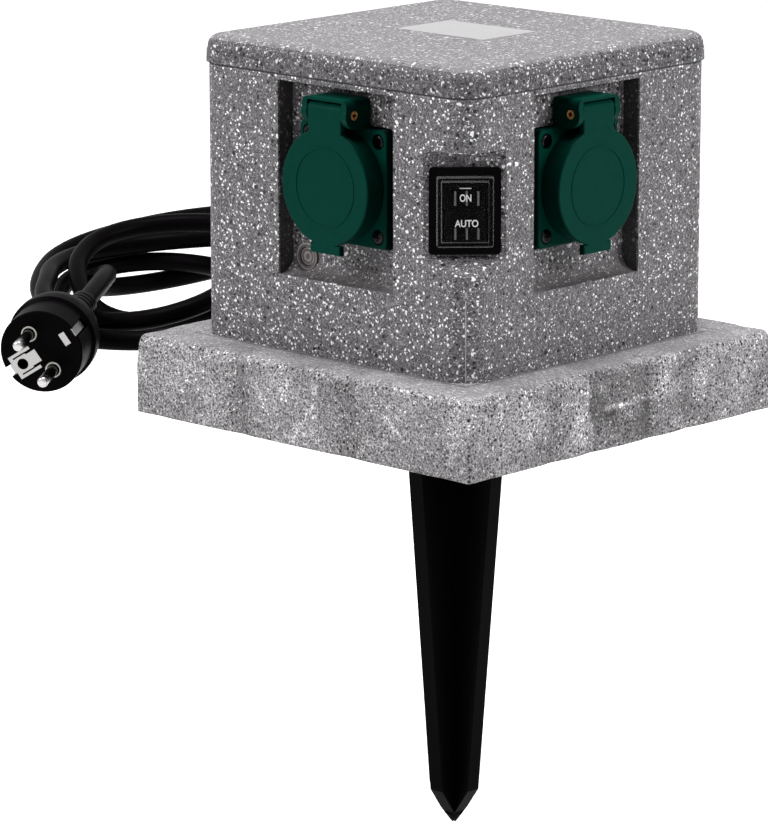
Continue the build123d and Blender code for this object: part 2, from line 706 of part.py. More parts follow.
with BuildPart() as bend_relief:
    with BuildSketch(GLAND.offset(GLAND_HEX)):
        Circle(10.0)
    with BuildSketch(GLAND.offset(GLAND_HEX + 9)):
        Circle(9.4)
    loft(ruled=True)
    with BuildSketch(GLAND.offset(GLAND_HEX + 9)):
        Circle(8.2)
    with BuildSketch(GLAND.offset(GLAND_HEX + RELIEF_LENGTH)):
        Circle(6.0)
    loft(ruled=True)
    for groove in range(4):
        with BuildSketch(GLAND.offset(GLAND_HEX + 13 + 4 * groove)):
            Circle(9)
            Circle(5.9 + 0.1 * (3 - groove), mode=Mode.SUBTRACT)
        extrude(amount=1.6, mode=Mode.SUBTRACT)
    with BuildSketch(GLAND.offset(GLAND_HEX)):
        Circle(CABLE_RADIUS + 0.15)
    extrude(amount=RELIEF_LENGTH, mode=Mode.SUBTRACT)
save(bend_relief, "bend_relief")

with BuildPart() as inner_cable:
    with BuildSketch(GLAND.offset(-34)):
        Circle(CABLE_RADIUS)
    extrude(amount=34 + GLAND_HEX + RELIEF_LENGTH)
save(inner_cable, "inner_cable")

with BuildPart() as cable_clamp:
    with BuildSketch(GLAND.offset(-14)):
        with Locations((0, 0)):
            Rectangle(14, 26)
        Circle(CABLE_RADIUS + 0.05, mode=Mode.SUBTRACT)
        with GridLocations(1, 19, 1, 2):
            Circle(1.7, mode=Mode.SUBTRACT)
    extrude(amount=-7)
save(cable_clamp, "cable_clamp")

# Supply cores from the lead's inner end down into the terminal block
with BuildPart() as supply_cores:
    for reach, height in ((8, GLAND_Z - 2.4), (0, GLAND_Z), (-8, GLAND_Z + 2.4)):
        with BuildLine() as core:
            FilletPolyline(
                (-43.6, GLAND_Y, height), (-34, GLAND_Y, height), (-34, reach, height),
                (-34, reach, BOARD_Z + 9), radius=3,
            )
        with BuildSketch(Plane(origin=core.line @ 0, z_dir=core.line % 0)):
            Circle(1.1)
        sweep(path=core.line)
save(supply_cores, "supply_cores")

# Earthed plug that lies on the ground beside the slab
PLUG = Plane(origin=PLUG_FACE, x_dir=PLUG_PIN_LINE, z_dir=PLUG_AXIS)
PLUG_SIDE = Plane(origin=PLUG_FACE, x_dir=PLUG.x_dir, z_dir=-PLUG.y_dir)
SLEEVE_START = -48.0
SLEEVE_END = -72.0
EARTH_HOLE = (0.3, -10.2)
NOTCH_BELOW = 15.2
NOTCH_ABOVE = 16.5

with BuildPart() as plug_body:
    with BuildSketch(PLUG_SIDE):
        with BuildLine():
            Polyline((0, SLEEVE_START), (0, 0), (18.1, 0), (18.6, -0.5), (18.6, -17), (20, -18), (20, -21))
            ThreePointArc((20, -21), (18.2, -31), (12.5, -40))
            Polyline((12.5, -40), (10, SLEEVE_START), (0, SLEEVE_START))
        make_face()
    revolve(axis=Axis(PLUG.origin, PLUG.z_dir))
    for middle in (-NOTCH_BELOW - 2.5, NOTCH_ABOVE + 2.5):
        with BuildSketch(PLUG.offset(-16)):
            with Locations((0.3, middle)):
                Rectangle(5, 5)
        extrude(amount=17, mode=Mode.SUBTRACT)
    with BuildSketch(PLUG):
        with GridLocations(PIN_PITCH, 1, 2, 1):
            Circle(2.42)
    extrude(amount=-8, mode=Mode.SUBTRACT)
    with BuildSketch(PLUG):
        with Locations(EARTH_HOLE):
            Circle(3.3)
    extrude(amount=-14, mode=Mode.SUBTRACT)
save(plug_body, "plug_body")

with BuildPart() as plug_pins:
    with BuildSketch(PLUG.offset(-8)):
        with GridLocations(PIN_PITCH, 1, 2, 1):
            Circle(2.4)
    extrude(amount=27)
    tips = plug_pins.faces().sort_by(Axis(PLUG.origin, PLUG.z_dir))[-2:]
    fillet(tips.edges(), 1.6)
save(plug_pins, "plug_pins")

with BuildPart() as plug_pin_rings:
    with BuildSketch(PLUG):
        with GridLocations(PIN_PITCH, 1, 2, 1):
            Circle(3.5)
            Circle(2.9, mode=Mode.SUBTRACT)
    extrude(amount=0.5)
save(plug_pin_rings, "plug_pin_rings")

# earth contact: a slotted plate with two arms and a tongue round the earth hole, and a strip in each notch
with BuildPart() as plug_earth_contact:
    with BuildSketch(PLUG):
        with Locations((0.3, -10.7)):
            Rectangle(11.2, 8.1)
        with Locations((0.3, -4.25)):
            Rectangle(6.0, 4.9)
            with GridLocations(9.8, 1, 2, 1):
                with Locations((0, -0.85)):
                    Rectangle(1.4, 3.2)
        with Locations((0.3, -9.8)):
            with GridLocations(7.9, 1, 2, 1):
                Rectangle(0.7, 6.4, mode=Mode.SUBTRACT)
        with Locations(EARTH_HOLE):
            Circle(2.5, mode=Mode.SUBTRACT)
        with Locations((0.3, -NOTCH_BELOW)):
            Rectangle(4.2, 1.1)
    extrude(amount=0.6)
    with BuildSketch(PLUG.offset(-15)):
        with Locations((0.3, -NOTCH_BELOW - 0.3)):
            Rectangle(4.2, 0.5)
    extrude(amount=15.6)
    with BuildSketch(PLUG.offset(-12)):
        with Locations(EARTH_HOLE):
            Circle(3.25)
            Circle(2.5, mode=Mode.SUBTRACT)
    extrude(amount=12.6)
    with BuildSketch(PLUG):
        with Locations((0.4, 12.8)):
            Rectangle(6.0, 2.9)
    extrude(amount=0.5)
    with BuildSketch(PLUG.offset(-15)):
        with Locations((0.3, NOTCH_ABOVE + 0.45)):
            Rectangle(3.6, 0.8)
    extrude(amount=13.5)
save(plug_earth_contact, "plug_earth_contact")

with BuildPart() as plug_sleeve:
    with BuildSketch(PLUG_SIDE):
        with BuildLine():
            Polyline(
                (0, SLEEVE_END), (0, SLEEVE_START), (8.6, SLEEVE_START), (6.2, SLEEVE_END), close=True,
            )
        make_face()
        for groove in range(4):
            with Locations((9.6 - 0.45 * groove, SLEEVE_START - 5 - 4.6 * groove)):
                Rectangle(5, 1.6, mode=Mode.SUBTRACT)
    revolve(axis=Axis(PLUG.origin, PLUG.z_dir))
save(plug_sleeve, "plug_sleeve")

# Lead: from the bend relief it goes round into four and a half loose loops that end in the plug's sleeve
RIGHT = Vector(1, 0, 0).rotate(Axis.Z, VIEW_TURN)
AWAY = Vector(0, 1, 0).rotate(Axis.Z, VIEW_TURN)
UP = Vector(0, 0, 1)
SECTION = math.pi * CABLE_RADIUS**2
STRAIGHT_END = 20.0
# radius and height of the loops at each quarter turn: right, rear, left, front
COIL_STATIONS = (
    (61, 57), (103, 31), (47, 10), (86, 11),
    (52, 10), (79, 15), (32, 6), (25, 8),
    (75, 31), (56, 38), (30, 22), (44, 12),
    (85, 34), (77, 25), (46, 21), (74, 17),
    (56, 36), (81, 5),
)
LAST_GROWTH = -55.0


def coil_points():
    """Points and directions of the loops at each quarter turn, and at the plug's sleeve."""
    last = len(COIL_STATIONS) - 1
    points, directions = [], []
    for i, (radius, height) in enumerate(COIL_STATIONS):
        outward = RIGHT.rotate(Axis.Z, 90 * i)
        along = AWAY.rotate(Axis.Z, 90 * i)
        before, after = COIL_STATIONS[max(i - 1, 0)], COIL_STATIONS[min(i + 1, last)]
        growth, climb = (after[0] - before[0]) / 2, (after[1] - before[1]) / 2
        if i in (0, last):
            growth = LAST_GROWTH if i == last else 0
            climb = -0.24 * radius * math.pi / 2 if i == 0 else climb * 0.6
        points.append(Vector(*COIL_CENTRE) + outward * radius + UP * height)
        directions.append((outward * growth + along * (radius * math.pi / 2) + UP * climb).normalized())
    points.append(PLUG.from_local_coords(Vector(0, 0, SLEEVE_END - STRAIGHT_END)))
    directions.append(PLUG.z_dir)
    return points, directions


def biarc(p1, t1, p2, t2):
    """Two arcs that leave p1 along t1 and reach p2 along t2; returns their radii."""
    across = p2 - p1
    both = across.dot(t1 + t2)
    open_turn = 2 * (1 - t1.dot(t2))
    reach = (math.sqrt(both**2 + open_turn * across.dot(across)) - both) / open_turn
    middle = (p1 + p2 + (t1 - t2) * reach) * 0.5
    turned = (p2 - t2 * reach - p1 - t1 * reach).normalized()
    first = TangentArc(p1, middle, tangent=t1)
    second = TangentArc(middle, p2, tangent=turned)
    return first.radius, second.radius


points, directions = coil_points()
start = points[0] - directions[0] * 10
with BuildPart() as cord_coil:
    with BuildLine() as loops:
        Line(start, points[0])
        radii = []
        for i in range(len(points) - 1):
            radii += biarc(points[i], directions[i], points[i + 1], directions[i + 1])
        Line(points[-1], PLUG.from_local_coords(Vector(0, 0, SLEEVE_END)))
    with BuildSketch(Plane(origin=start, z_dir=directions[0])):
        Circle(CABLE_RADIUS)
    sweep(path=loops.wire())
save(cord_coil, "cord_coil")

coil_length = loops.wire().length
steps = round(coil_length / 3)
trail = [tuple(loops.wire() @ (i / steps)) for i in range(steps + 1)]
gap = min(
    math.dist(trail[i], trail[j]) for i in range(steps) for j in range(i + 20, steps)
) - 2 * CABLE_RADIUS
print("loop radii, least:", round(min(radii), 1), "of", len(radii), "arcs")
print("least gap between loops:", round(gap, 2), "lowest centre:", round(min(p[2] for p in trail), 2))
print("loops' volume over section times length:", round(cord_coil.part.volume / SECTION / coil_length, 4))

lead_start = GLAND.from_local_coords(Vector(0, 0, GLAND_HEX + RELIEF_LENGTH))
corner_back = (start.Y - GLAND_Y) / directions[0].Y
LEAD_ROUTE = (lead_start, start - directions[0] * corner_back, start)


def route_radii(route):
    """The largest even bend at each corner of a route."""
    bends = []
    for a, b, c in zip(route, route[1:], route[2:]):
        one, two = b - a, c - b
        half_turn = math.radians(one.get_angle(two)) / 2
        bends.append(0.45 * min(one.length, two.length) / math.tan(half_turn))
    return bends


bends = route_radii(LEAD_ROUTE)
with BuildPart() as cord_lead:
    with BuildLine() as lead_line:
        FilletPolyline(*LEAD_ROUTE, radius=bends)
    with BuildSketch(Plane(origin=lead_start, z_dir=GLAND.z_dir)):
        Circle(CABLE_RADIUS)
    sweep(path=lead_line.wire())
save(cord_lead, "cord_lead")
lead_length = lead_line.wire().length
print("lead's bends:", [round(b, 1) for b in bends], "length", round(lead_length, 1))
print("lead's volume over section times length:", round(cord_lead.part.volume / SECTION / lead_length, 4))
print("cord outside the post, in m:", round((lead_length + coil_length) / 1000, 2))
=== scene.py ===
import bmesh
import bpy
import json
import math
from mathutils import Matrix, Vector, noise as ripple


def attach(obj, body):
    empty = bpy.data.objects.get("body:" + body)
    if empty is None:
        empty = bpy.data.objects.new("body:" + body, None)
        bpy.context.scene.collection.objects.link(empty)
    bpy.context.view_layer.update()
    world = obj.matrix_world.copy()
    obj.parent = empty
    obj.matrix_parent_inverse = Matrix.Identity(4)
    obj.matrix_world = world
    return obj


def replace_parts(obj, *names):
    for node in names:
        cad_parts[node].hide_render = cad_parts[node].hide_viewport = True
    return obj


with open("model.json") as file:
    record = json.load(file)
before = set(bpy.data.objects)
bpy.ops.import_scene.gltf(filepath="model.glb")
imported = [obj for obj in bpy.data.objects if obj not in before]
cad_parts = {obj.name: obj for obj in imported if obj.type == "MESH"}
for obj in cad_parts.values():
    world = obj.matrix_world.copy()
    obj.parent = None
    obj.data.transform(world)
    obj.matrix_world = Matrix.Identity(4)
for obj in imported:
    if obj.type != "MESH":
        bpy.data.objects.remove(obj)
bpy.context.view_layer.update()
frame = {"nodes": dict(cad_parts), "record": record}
scene = bpy.context.scene
nodes = frame["nodes"]


# Camera: a long lens from the front corner, a little above the cap, two metres away. The two lidded faces
# of the post are turned from it about equally.
azimuth, elevation, roll = math.radians(43.51), math.radians(12.89), math.radians(-0.06)
target = Vector((-0.02223, -0.02108, -0.00095))
distance = 2.02522
back = Vector((
    math.sin(azimuth) * math.cos(elevation), -math.cos(azimuth) * math.cos(elevation), math.sin(elevation),
))
level = Vector((math.cos(azimuth), math.sin(azimuth), 0))
upright = back.cross(level)
right = level * math.cos(roll) + upright * math.sin(roll)
up = upright * math.cos(roll) - level * math.sin(roll)
camera = bpy.data.objects.new("camera", bpy.data.cameras.new("camera"))
scene.collection.objects.link(camera)
aim = Matrix((right, up, back)).transposed().to_4x4()
camera.matrix_world = Matrix.Translation(target + back * distance) @ aim
camera.data.sensor_width = 36
camera.data.lens = 205.1
scene.camera = camera


# Lead: black rubber-sheathed cable, held by the gland in the rear face and ending in the plug. It lies
# behind the left corner in four and a half loose loops, and is one smooth line of even thickness. The
# loops' radius and height are in millimetres, at each quarter turn.
corner_angle = math.radians(43.5)
away = Vector((-math.sin(corner_angle), math.cos(corner_angle), 0))
sideways = Vector((math.cos(corner_angle), math.sin(corner_angle), 0))
coil_centre = Vector((-0.224, 0.0285, 0))
quarter_turns = [
    (55, 57), (106, 30), (45, 9), (89, 11),
    (52, 10), (83, 16), (34, 7), (27, 7),
    (79, 33), (58, 38), (31, 23), (44, 10),
    (90, 34), (80, 25), (45, 22), (78, 17),
    (56, 40), (101, 4),
]
points_in_quarter = 3
sheath_radius = 0.0045


def between(values, place):
    """A smooth value between whole steps of a list."""
    i = min(int(place), len(values) - 2)
    part = place - i
    a, b = values[i], values[i + 1]
    before, after = values[max(i - 1, 0)], values[min(i + 2, len(values) - 1)]
    return 0.5 * (
        2 * a + (b - before) * part + (2 * before - 5 * a + 4 * b - after) * part**2
        + (3 * a - before - 3 * b + after) * part**3
    )


def link(name, data, body):
    """Puts a new piece into the scene, riding on a CAD body."""
    piece = bpy.data.objects.new(name, data)
    scene.collection.objects.link(piece)
    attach(piece, body)
    return piece


def feed(tree, socket, value):
    """Joins a socket to another one, or gives it a fixed number, colour or vector."""
    if isinstance(value, bpy.types.NodeSocket):
        tree.links.new(value, socket)
    elif socket.type == "RGBA":
        socket.default_value = (*value, 1)
    else:
        socket.default_value = value


def maths(tree, operation, *values, clamp=False):
    """A maths node on numbers or sockets."""
    node = tree.nodes.new("ShaderNodeMath")
    node.operation = operation
    node.use_clamp = clamp
    for socket, value in zip(node.inputs, values):
        feed(tree, socket, value)
    return node.outputs[0]


def noise(tree, vector, scale, detail=2.0, roughness=0.5, name="Fac"):
    """A noise texture over a vector, at a scale per metre."""
    node = tree.nodes.new("ShaderNodeTexNoise")
    for label, value in (("Vector", vector), ("Scale", scale), ("Detail", detail), ("Roughness", roughness)):
        feed(tree, node.inputs[label], value)
    return node.outputs[name]


def blend_colour(tree, mask, under, over, way="MIX"):
    """Lays one colour over another by a mask. A Mix node's sockets for colours are its seventh and eighth."""
    node = tree.nodes.new("ShaderNodeMix")
    node.data_type = "RGBA"
    node.blend_type = way
    for place, value in ((0, mask), (6, under), (7, over)):
        feed(tree, node.inputs[place], value)
    return node.outputs[2]


def bump(tree, shader, height, distance, strength=1.0):
    """Raises the surface by a height mask."""
    node = tree.nodes.new("ShaderNodeBump")
    for label, value in (("Strength", strength), ("Distance", distance), ("Height", height)):
        feed(tree, node.inputs[label], value)
    feed(tree, shader.inputs["Normal"], node.outputs["Normal"])


def effect(name, inputs, outputs):
    """An empty node group with named sockets; returns it with what it is given and what it puts out."""
    group = bpy.data.node_groups.new(name, "ShaderNodeTree")
    for way, sockets in (("INPUT", inputs), ("OUTPUT", outputs)):
        for label, kind in sockets.items():
            group.interface.new_socket(label, in_out=way, socket_type="NodeSocket" + kind)
    given = group.nodes.new("NodeGroupInput").outputs
    result = group.nodes.new("NodeGroupOutput").inputs
    return group, given, result


def use(tree, group, **values):
    """Places an effect in a material with its own values."""
    node = tree.nodes.new("ShaderNodeGroup")
    node.node_tree = group
    for label, value in values.items():
        feed(tree, node.inputs[label], value)
    return node.outputs


# Effect shared by every finish: a fine mottle that moves the colour between two tones, lifts the roughness
# by up to 0.16 and gives a height to bump the surface with.
fine_mottle, given, result = effect(
    "fine_mottle",
    {"Vector": "Vector", "Scale": "Float", "Low": "Color", "High": "Color", "Roughness": "Float"},
    {"Colour": "Color", "Roughness": "Float", "Height": "Float"},
)
wave = noise(fine_mottle, given["Vector"], given["Scale"], 3, 0.6)
feed(fine_mottle, result["Colour"], blend_colour(fine_mottle, wave, given["Low"], given["High"]))
feed(fine_mottle, result["Roughness"], maths(fine_mottle, "MULTIPLY_ADD", wave, 0.16, given["Roughness"]))
feed(fine_mottle, result["Height"], wave)


def material(name, colour, roughness, metallic=0.0, grain=700, spread=0.15, relief=0.00003):
    """A mottled material around one colour and roughness; returns its object coordinates too."""
    made = bpy.data.materials.new(name)
    made.use_nodes = True
    tree = made.node_tree
    shader = tree.nodes["Principled BSDF"]
    shader.inputs["Metallic"].default_value = metallic
    place = tree.nodes.new("ShaderNodeTexCoord").outputs["Object"]
    low, high = (tuple(channel * (1 + sign * spread) for channel in colour) for sign in (-1, 1))
    skin = use(tree, fine_mottle, Vector=place, Scale=grain, Low=low, High=high, Roughness=roughness - 0.08)
    feed(tree, shader.inputs["Base Color"], skin["Colour"])
    feed(tree, shader.inputs["Roughness"], skin["Roughness"])
    bump(tree, shader, skin["Height"], relief, 0.5)
    return made, tree, shader, place


def painted(shader):
    """The colour that a material has so far."""
    return shader.inputs["Base Color"].links[0].from_socket


def wear(name, finish):
    """Gives one CAD piece its finish."""
    skin = nodes[name].data.materials
    skin.clear()
    skin.append(finish)


def dress(slot_name, finish):
    """Gives a finish to every CAD piece of one material."""
    for row in frame["record"]["subparts"]:
        if row["material_slot"] == slot_name:
            wear(row["node"], finish)


route = [(-0.1126, 0.038, 0.0677), (-0.131, 0.038, 0.0677), (-0.151, 0.0405, 0.065), (-0.168, 0.049, 0.061)]
radii, heights = ([size / 1000 for size in sizes] for sizes in zip(*quarter_turns))
for step in range((len(quarter_turns) - 1) * points_in_quarter):
    turn = math.radians(step * 90 / points_in_quarter)
    quarter = step / points_in_quarter
    out = sideways * math.cos(turn) + away * math.sin(turn)
    route.append(coil_centre + out * between(radii, quarter) + Vector((0, 0, between(heights, quarter))))
route += [
    (-0.277, 0.0955, 0.005), (-0.286, 0.0615, 0.0045), (-0.2735, 0.035, 0.012), (-0.244, 0.0205, 0.023),
    (-0.2275, 0.009, 0.0275), (-0.214, -0.0065, 0.029), (-0.1986, -0.029, 0.0268),
    (-0.19176, -0.03995, 0.02552),
]
# The bevel's depth is one, so that each point's radius is the sheath's.
line = bpy.data.curves.new("lead", "CURVE")
line.dimensions = "3D"
line.resolution_u = 8
line.bevel_depth = 1
line.bevel_resolution = 8
spline = line.splines.new("NURBS")
spline.points.add(len(route) - 1)
for point, place in zip(spline.points, route):
    point.co = (*place, 1)
    point.radius = sheath_radius
spline.order_u = 3
spline.use_endpoint_u = True

lead = link("lead", line, "post")
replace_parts(lead, "cord_lead", "cord_coil")

# The sheath's rubber, of which the seals, the bend relief and the plug's body and sleeve are made too.
rubber, tree, shader, place = material("rubber", (0.0018, 0.0014, 0.0018), 0.38, grain=900, relief=0.00006)
shader.inputs["Specular IOR Level"].default_value = 0.012
dress("black_rubber", rubber)
line.materials.append(rubber)


# Studio: a white floor in a white room. The camera, mirrors and clear pieces see plain white behind the
# post, and three soft lamps light it: a key at its left, a wide fill at its right and one above the cap.
post_middle = Vector((0, 0, 0.08))
lamps = (
    ("key", (-0.9, -1.6, 1.2), 0.9, 33),
    ("fill", (1.7, 0.75, 1.0), 0.9, 29),
    ("top", (0.1, -0.1, 2.2), 0.8, 47),
)


def behind_post(tree, output_kind, cast, seen):
    """Lets camera, mirrored and clear rays see one surface, while another one casts the light."""
    path = tree.nodes.new("ShaderNodeLightPath").outputs
    mirrored = maths(tree, "MAXIMUM", path["Is Glossy Ray"], path["Is Transmission Ray"])
    mix = tree.nodes.new("ShaderNodeMixShader")
    feed(tree, mix.inputs["Fac"], maths(tree, "MAXIMUM", path["Is Camera Ray"], mirrored))
    feed(tree, mix.inputs[1], cast)
    feed(tree, mix.inputs[2], seen)
    feed(tree, tree.nodes.new(output_kind).inputs["Surface"], mix.outputs[0])


bpy.ops.mesh.primitive_plane_add(size=6, location=(0, 0, -0.1885))
floor = bpy.context.object
floor.name = "floor"
white = bpy.data.materials.new("floor_white")
white.use_nodes = True
tree = white.node_tree
tree.nodes.clear()
matt = tree.nodes.new("ShaderNodeBsdfDiffuse")
matt.inputs["Color"].default_value = (0.7, 0.7, 0.7, 1)
glow = tree.nodes.new("ShaderNodeEmission")
glow.inputs["Strength"].default_value = 0.9
lifted = tree.nodes.new("ShaderNodeAddShader")
feed(tree, lifted.inputs[0], matt.outputs[0])
feed(tree, lifted.inputs[1], glow.outputs[0])
behind_post(tree, "ShaderNodeOutputMaterial", matt.outputs[0], lifted.outputs[0])
floor.data.materials.append(white)

world = bpy.data.worlds.new("studio")
scene.world = world
world.use_nodes = True
tree = world.node_tree
tree.nodes.clear()
walls = []
for strength in (0.13, 1.0):
    wall = tree.nodes.new("ShaderNodeBackground")
    wall.inputs["Color"].default_value = (1, 1, 1, 1)
    wall.inputs["Strength"].default_value = strength
    walls.append(wall.outputs[0])
behind_post(tree, "ShaderNodeOutputWorld", *walls)
scene.view_settings.view_transform = "Standard"

for name, place, size, power in lamps:
    lamp = bpy.data.objects.new(name, bpy.data.lights.new(name, "AREA"))
    scene.collection.objects.link(lamp)
    lamp.data.size = size
    lamp.data.energy = power
    lamp.location = place
    lamp.rotation_mode = "QUATERNION"
    lamp.rotation_quaternion = (Vector(place) - post_middle).to_track_quat("Z", "Y")


# Slab: a cast block of pale stone-look plastic, with valleys hewn down its sides, bulging panels between
# them, chipped shoulders and pale patches that are painted highlights. Painted shade darkens its valleys,
# its set-back panel and a line along the housing's foot. It is modelled as a shell 2.5 mm thick, open below
# where the bottom plate closes it. Its sides are counted anticlockwise from above, the left front one first.
side, height, rounding, shell = 0.0975, 0.0345, 0.005, 0.0025
housing_foot = 0.0776
# Places along a side and up it, in millimetres: the valleys' middles, then the one panel that is set back.
valleys = ((-86, -34, 30, 86), (-86, -47, -22, 16, 40, 86), (-84, -30, 24, 86), (-86, -20, 40, 84))
valley_reach, deepest, light_reach, last_panel_end = 5.5, 3.0, 0.9, 97
panel_side, panel_start, panel_end, panel_notch = 1, -22, 16, 17
# Painted highlights, as pale patches: side, middle along and up, reach along and up, strength.
pale = (
    (0, -66, 24, 9, 7, 0.9), (0, -52, 12, 8, 8, 0.5), (0, -8, 22, 8, 6, 0.9), (0, 4, 8, 6, 8, 0.5),
    (0, 52, 20, 9, 6, 0.5), (0, 88, 18, 4, 12, 1.0), (1, -60, 20, 8, 9, 0.7), (1, -29, 12, 5, 9, 1.2),
    (1, -18, 27, 8, 4, 0.8), (1, 24, 22, 5, 7, 1.2), (1, 49, 20, 5, 8, 1.0), (1, 76, 16, 8, 9, 0.5),
    (2, -50, 20, 9, 8, 0.8), (2, 5, 12, 9, 8, 0.7), (3, 0, 20, 9, 8, 0.8), (3, 60, 14, 8, 8, 0.7),
)
# Painted highlights along chipped ridges and painted shade along cracks: side, start and end, each along and
# up.
painted_ridge_highlights = (
    (0, -25, 24, -17, 11), (0, -3, 3, 9, 19), (0, 50, 21, 62, 12), (1, -12, 17, 17, 18),
    (1, -22, 2, -22, 30), (2, -30, 8, -20, 22), (3, 30, 22, 42, 12), (1, -20, 1, -20, 12),
)
painted_crack_shade = (
    (1, -16, 14, -7, 14.6), (1, -21.5, 1, -21.5, 31), (0, -13, 21, -7, 13), (0, 57, 20, 61, 14),
    (2, -22, 20, -14, 18),
)


def vector_maths(tree, operation, vector, other, scale=None):
    """A vector node on two vectors, or on one vector and a scale."""
    node = tree.nodes.new("ShaderNodeVectorMath")
    node.operation = operation
    feed(tree, node.inputs[0], vector)
    if scale is None:
        feed(tree, node.inputs[1], other)
    else:
        feed(tree, node.inputs["Scale"], scale)
    return node.outputs


def split(tree, vector):
    """The three parts of a vector."""
    node = tree.nodes.new("ShaderNodeSeparateXYZ")
    feed(tree, node.inputs[0], vector)
    return node.outputs


def shaded(tree, colour, shade):
    """Multiplies a colour by a number that changes over the surface."""
    return blend_colour(tree, 1.0, colour, shade, "MULTIPLY")


# Effect shared by the two stones: irregular grains scattered through space. Cell is the grains' spacing in
# millimetres, Share the part of the cells that hold one and Size its radius within the cell.
# Ragged moves their outlines, and Rim is the mask a little wider, for the dark edge around each grain.
grains, given, result = effect(
    "grains",
    {"Vector": "Vector", "Cell": "Float", "Share": "Float", "Size": "Float", "Ragged": "Float"},
    {"Mask": "Float", "Rim": "Float"},
)
scale = maths(grains, "DIVIDE", 1000.0, given["Cell"])
wobble = noise(grains, given["Vector"], maths(grains, "MULTIPLY", scale, 1.7), 1.0, name="Color")
wobble = vector_maths(grains, "SUBTRACT", wobble, (0.5, 0.5, 0.5))[0]
wobble = vector_maths(grains, "SCALE", wobble, None, maths(grains, "DIVIDE", given["Ragged"], scale))[0]
cells = grains.nodes.new("ShaderNodeTexVoronoi")
feed(grains, cells.inputs["Vector"], vector_maths(grains, "ADD", given["Vector"], wobble)[0])
feed(grains, cells.inputs["Scale"], scale)
pick = grains.nodes.new("ShaderNodeSeparateColor")
feed(grains, pick.inputs[0], cells.outputs["Color"])
held = maths(grains, "LESS_THAN", pick.outputs[0], given["Share"])
grain_size = maths(grains, "MULTIPLY", given["Size"], maths(grains, "ADD", 0.35, pick.outputs[1]))
inside = maths(grains, "SUBTRACT", grain_size, cells.outputs["Distance"])
edge = maths(grains, "MULTIPLY", inside, 14.0, clamp=True)
border = maths(grains, "MULTIPLY_ADD", inside, 8.0, 1.2, clamp=True)
feed(grains, result["Mask"], maths(grains, "MULTIPLY", edge, held))
feed(grains, result["Rim"], maths(grains, "MULTIPLY", border, held))


def stone(name, dark, light, bright, flecks, chips, chip_size, dots, dot_cell):
    """Speckled moulded stone: a mottled ground, then squiggles, white flecks and chips, and black dots."""
    made, tree, shader, place = material(name, light, 0.62)
    shader.inputs["Specular IOR Level"].default_value = 0.3
    coarse = noise(tree, place, 170, 3, 0.6)
    fine = noise(tree, place, 1050, 1, 0.6)
    gritty = maths(tree, "MULTIPLY_ADD", fine, 3.4, -1.5)
    cloudy = maths(tree, "MULTIPLY_ADD", coarse, 0.6, gritty, clamp=True)
    ground = blend_colour(tree, cloudy, dark, light)
    for scale, sharpness, strength, tone in ((640, 18.0, 0.9, dark), (540, 26.0, 0.75, bright)):
        off_line = maths(tree, "ABSOLUTE", maths(tree, "SUBTRACT", noise(tree, place, scale, 0), 0.5))
        squiggle = maths(tree, "SUBTRACT", 1.0, maths(tree, "MULTIPLY", off_line, sharpness), clamp=True)
        ground = blend_colour(tree, maths(tree, "MULTIPLY", squiggle, strength), ground, tone)
    # Each layer's spacing, share, size, raggedness and colour.
    for cell, share, size, ragged, tone in (
        (1.55, flecks, 0.303, 1.0, (0.96, 0.95, 0.96)), (3.4, chips, chip_size, 0.8, (0.97, 0.97, 0.98)),
        (dot_cell, dots, 0.285, 0.4, (0.003, 0.002, 0.003)),
    ):
        layer = use(tree, grains, Vector=place, Cell=cell, Share=share, Size=size, Ragged=ragged)
        ground = blend_colour(tree, maths(tree, "MULTIPLY", layer["Rim"], 0.5), ground, dark)
        ground = blend_colour(tree, layer["Mask"], ground, tone)
    return made, tree, shader, place, ground, fine


def painted_highlight(face, along, up):
    """How much painted highlight a place has."""
    return sum(
        strength * math.exp(-(((along - middle) / wide) ** 2) - ((up - level) / high) ** 2)
        for patch_face, middle, level, wide, high, strength in pale if patch_face == face
    )


def painted_streaks(face, along, up):
    """How much painted highlight a ridge gives a place, or painted shade a crack."""
    shine = 0
    for lines, strength in ((painted_ridge_highlights, 1.8), (painted_crack_shade, -0.8)):
        for start, low, end, high in (ends[1:] for ends in lines if ends[0] == face):
            run, rise = end - start, high - low
            part = ((along - start) * run + (up - low) * rise) / (run * run + rise * rise)
            part = min(max(part, 0), 1)
            gap = math.hypot(along - start - part * run, up - low - part * rise)
            shine += strength * math.exp(-(gap / light_reach) ** 2)
    return shine


slab_stone, tree, shader, place, ground, fine = stone(
    "slab_stone", dark=(0.07, 0.066, 0.07), light=(0.41, 0.393, 0.41), bright=(0.76, 0.75, 0.76),
    flecks=0.6, chips=0.2, chip_size=0.17, dots=0.65, dot_cell=1.85,
)
ledge = maths(tree, "MULTIPLY", maths(tree, "GREATER_THAN", split(tree, place)[2], height - 0.0009), 0.45)
ground = blend_colour(tree, ledge, ground, (0.23, 0.222, 0.23))
# Painted shade and painted highlights, carried from the slab's vertices, darken and lighten its colour.
painted_shading = tree.nodes.new("ShaderNodeAttribute")
painted_shading.attribute_name = "painted_shading"
smudge = maths(tree, "MULTIPLY_ADD", noise(tree, place, 45), 1.2, 0.42)
shade = maths(tree, "SUBTRACT", smudge, maths(tree, "MULTIPLY", painted_shading.outputs["Fac"], 0.5))
feed(tree, shader.inputs["Base Color"], shaded(tree, ground, shade))
bump(tree, shader, fine, 0.0003, 0.6)
dress("pale_stone", slab_stone)

